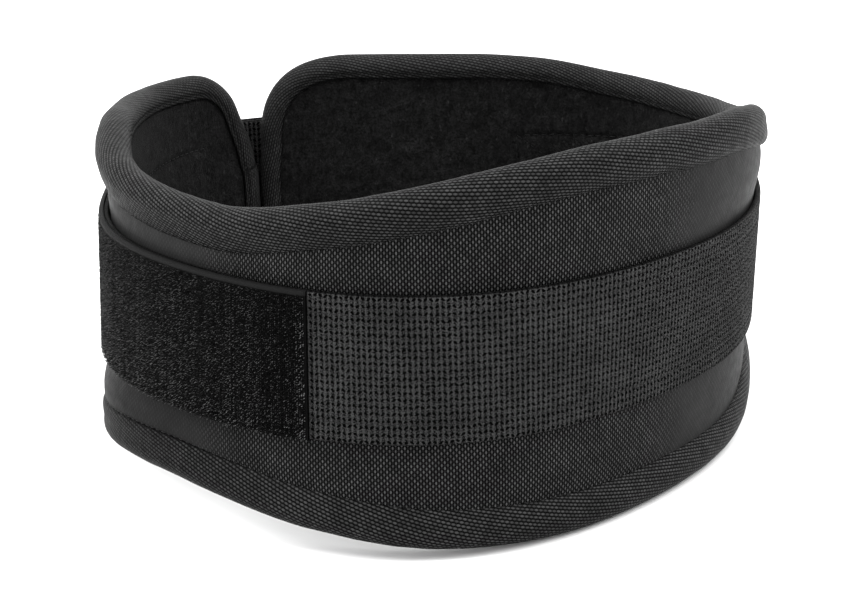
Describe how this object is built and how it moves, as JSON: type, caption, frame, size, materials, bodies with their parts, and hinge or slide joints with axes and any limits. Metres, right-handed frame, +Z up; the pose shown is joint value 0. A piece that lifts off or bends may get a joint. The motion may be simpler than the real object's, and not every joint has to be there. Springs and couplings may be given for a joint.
{
  "type": "weightlifting belt",
  "caption": "Padded nylon lifting belt closed in a ring: foam pad with a rolled rim, wide webbing strap, hook fastener panel and a plain metal loop.",
  "frame": {"origin": "on the floor under the middle of the belt's box", "axes": "+Z up along the ring's axis, +Y from the viewer's side to the far side where the ends meet"},
  "size_m": [0.2468, 0.2728, 0.132],
  "materials": {
    "cover_nylon": "coated basket weave nylon with a soft sheen",
    "foam": "closed-cell foam, hidden",
    "lining_cloth": "brushed cloth, matte",
    "binding_nylon": "ribbed nylon tape with a soft sheen",
    "webbing": "heavy ribbed webbing",
    "hook_tape": "fine plastic hooks on woven tape",
    "loop_metal": "satin steel wire"
  },
  "bodies": {
    "root": {"outer_cover": "cover_nylon", "foam_core": "foam", "lining": "lining_cloth", "edge_binding": "binding_nylon", "webbing_strap": "webbing", "hook_panel": "hook_tape", "buckle_loop": "loop_metal"}
  },
  "joints": []
}
